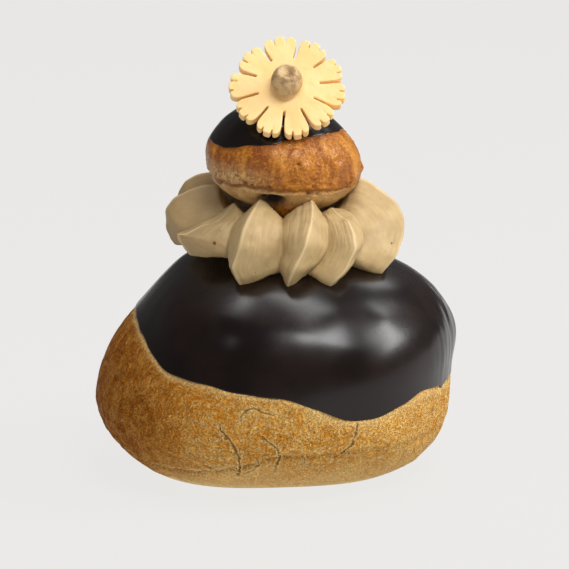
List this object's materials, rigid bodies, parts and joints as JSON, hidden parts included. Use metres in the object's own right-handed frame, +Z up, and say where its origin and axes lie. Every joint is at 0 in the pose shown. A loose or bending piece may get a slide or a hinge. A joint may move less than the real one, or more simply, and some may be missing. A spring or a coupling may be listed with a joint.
{
  "type": "religieuse choux pastry",
  "caption": "Two-tier choux pastry: small bun on a ruffled piped cream collar on a large bun, both dipped in dark chocolate, with a notched sugar flower leaning on top.",
  "frame": {"origin": "middle of the object's bounding box in plan, on the flat base it stands on", "axes": "+Z up through the stacked buns, -Y towards the face of the flower, +X to the right of that view"},
  "size_m": [0.0823, 0.0822, 0.0984],
  "materials": {
    "choux_crust": "dry mottled golden baked crust, browner on the left",
    "dark_chocolate": "satin dark chocolate with soft broken highlights",
    "coffee_cream": "smooth piped coffee cream with fine drag streaks",
    "amber_crust": "amber blistered crust with a thin glaze",
    "glossy_chocolate": "glossy dark chocolate",
    "yellow_sugar_paste": "matt pale yellow sugar paste",
    "tan_sugar_paste": "tan sugar bead with a faint sparkle"
  },
  "bodies": {
    "root": {"large_bun": "choux_crust", "large_coat": "dark_chocolate", "cream_collar": "coffee_cream", "small_bun": "amber_crust", "small_coat": "glossy_chocolate", "flower": "yellow_sugar_paste", "flower_centre": "tan_sugar_paste"}
  },
  "joints": []
}
